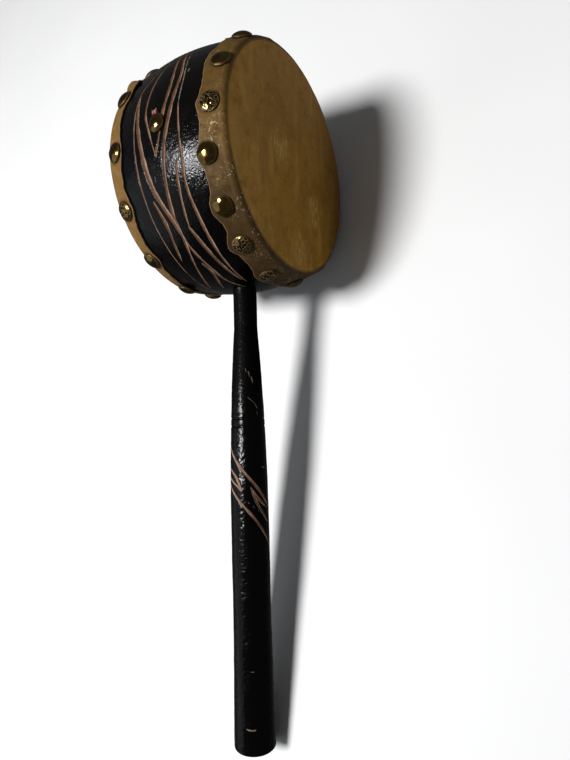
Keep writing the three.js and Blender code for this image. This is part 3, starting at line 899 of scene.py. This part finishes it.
def tarnished_brass():
    """Brass gone brown in its hollows, its pits and round its edge, polished on the crown"""
    brass = Finish("tarnished_brass")
    height = brass.mask("height")
    clouds = brass.noise(4.5, detail=4)
    fine = brass.noise(0.8, detail=3, roughness=0.65)
    tarnish = brass.between(clouds + (fine - 0.5) * 0.5, 0.4, 0.64)
    edge = 1 - brass.between(height + (fine - 0.5) * 0.9, 0.2, 1.5)
    metal = brass.colour(tarnish, tone(0.24, 0.152, 0.05), tone(0.115, 0.068, 0.018))
    metal = brass.colour(edge * 0.85, metal, tone(0.045, 0.027, 0.011))
    pit = brass.mask("pit")
    # pale, less metallic rims round the pits: painted glints off the pit walls
    pit_glint = 1 - brass.between(abs(pit - 0.4 + (fine - 0.5) * 0.8), 0.08, 0.3)
    metal = brass.colour(brass.between(pit, 0.55, 0.9) * 0.75, metal, tone(0.03, 0.018, 0.007))
    metal = brass.colour(pit_glint * 0.55, metal, tone(0.27, 0.2, 0.1))
    roughness = 0.1 + tarnish * 0.1 + edge * 0.3
    return brass.surface({
        "Base Color": metal, "Metallic": (1 - edge * 0.5) * (1 - pit_glint * 0.5), "Roughness": roughness,
        "Normal": brass.bump(fine + clouds * 1.5, 0.014)})


def red_cord():
    """Faded red thread"""
    cord = Finish("red_cord")
    fade = cord.between(cord.noise(0.8, detail=3), 0.35, 0.65)
    colour = cord.colour(fade, tone(0.3, 0.065, 0.07), tone(0.5, 0.22, 0.21))
    return cord.surface({"Base Color": colour, "Roughness": 0.85 + fade * 0.1})


def pale_floor():
    """Even off-white studio floor"""
    floor = Finish("pale_floor")
    cloud = floor.between(floor.noise(240, detail=2), 0.3, 0.7)
    colour = floor.colour(cloud, tone(0.8, 0.8, 0.8), tone(0.83, 0.83, 0.83))
    return floor.surface({"Base Color": colour, "Roughness": 0.8 + cloud * 0.05, "Specular IOR Level": 0.1})


# Putting the drum together

def fit(piece, finish, node):
    """A finished piece takes the place of its solid"""
    piece.data.materials.append(finish)
    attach(piece, "root")
    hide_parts(node)


def make_drum():
    lacquer = black_lacquer()
    brass = tarnished_brass()
    fit(shell_piece(), lacquer, "shell")
    fit(handle_piece(), lacquer, "handle")
    sides = [("right", 1, RIGHT_EDGE, RIGHT_TACKS), ("left", -1, LEFT_EDGE, LEFT_TACKS)]
    for number, (side, sign, edge, set_tacks) in enumerate(sides):
        tacks = with_even_tacks(set_tacks)
        head = head_piece(f"{side}_hide", sign, edge, tacks, HEAD_SEED + 20 * number)
        fit(head, rawhide(f"{side}_rawhide", side == "right"), f"head_{side}")
        for i, (angle, inset, _) in enumerate(tacks):
            node = f"tack_{side}_{i + 1:02d}"
            pitted = node in PITTED_TACKS
            seed = TACK_SEED + 100 * number + 5 * i
            dome = tack_piece(f"brass_{node}", angle, sign * inset, TACK_SEAT, TACK_RADIUS, pitted, seed)
            fit(dome, brass, node)
    dome = tack_piece(
        "brass_cord_tack", CORD_TACK_ANGLE, CORD_TACK_OFFSET, GAP, CORD_TACK_RADIUS, False, CORD_TACK_SEED)
    fit(dome, brass, "cord_tack")
    fit(cord_piece(), red_cord(), "cord_stub")


def add_lamp(name, way, distance, size, power, light):
    """Soft round lamp that faces the drum"""
    lamp = bpy.data.objects.new(name, bpy.data.lights.new(name, "AREA"))
    lamp.data.shape = "DISK"
    lamp.data.size = size
    lamp.data.energy = power
    lamp.data.color = light
    way = Vector(way).normalized()
    lamp.location = DRUM_AXES.translation + way * distance
    lamp.rotation_mode = "QUATERNION"
    lamp.rotation_quaternion = way.to_track_quat("Z", "Y")
    bpy.context.scene.collection.objects.link(lamp)


def make_studio():
    """Pale floor, a soft lamp overhead, a dim window and room, and the camera"""
    bpy.ops.mesh.primitive_plane_add(size=FLOOR_SIZE)
    floor = bpy.context.object
    floor.name = "studio_floor"
    floor.data.materials.append(pale_floor())
    floor.visible_glossy = False  # the lacquer and brass mirror the dim room and the lamp alone

    add_lamp("key_lamp", KEY_WAY, KEY_DISTANCE, KEY_SIZE, KEY_POWER, KEY_LIGHT)
    add_lamp("side_window", SIDE_WAY, SIDE_DISTANCE, SIDE_SIZE, SIDE_POWER, SIDE_LIGHT)

    room = bpy.data.worlds.new("dim_room")
    room.use_nodes = True
    room.node_tree.nodes["Background"].inputs["Color"].default_value = tone(1, 1, 1)
    room.node_tree.nodes["Background"].inputs["Strength"].default_value = ROOM_GLOW
    bpy.context.scene.world = room
    bpy.context.scene.view_settings.view_transform = "Standard"

    camera = bpy.data.objects.new("camera", bpy.data.cameras.new("camera"))
    camera.data.lens = LENS
    camera.data.sensor_width = SENSOR
    upright = Matrix.Rotation(math.radians(90), 4, "X")
    turns = [(CAMERA_TURN, "Z"), (CAMERA_NOD, "X"), (CAMERA_TILT, "Y")]
    aim = upright.inverted()
    for degrees, axis in turns:
        aim = aim @ Matrix.Rotation(math.radians(degrees), 4, axis)
    camera.matrix_world = DRUM_AXES @ Matrix.Translation(Vector(CAMERA_SPOT) * MM) @ aim @ upright
    bpy.context.scene.collection.objects.link(camera)
    bpy.context.scene.camera = camera


make_drum()
make_studio()
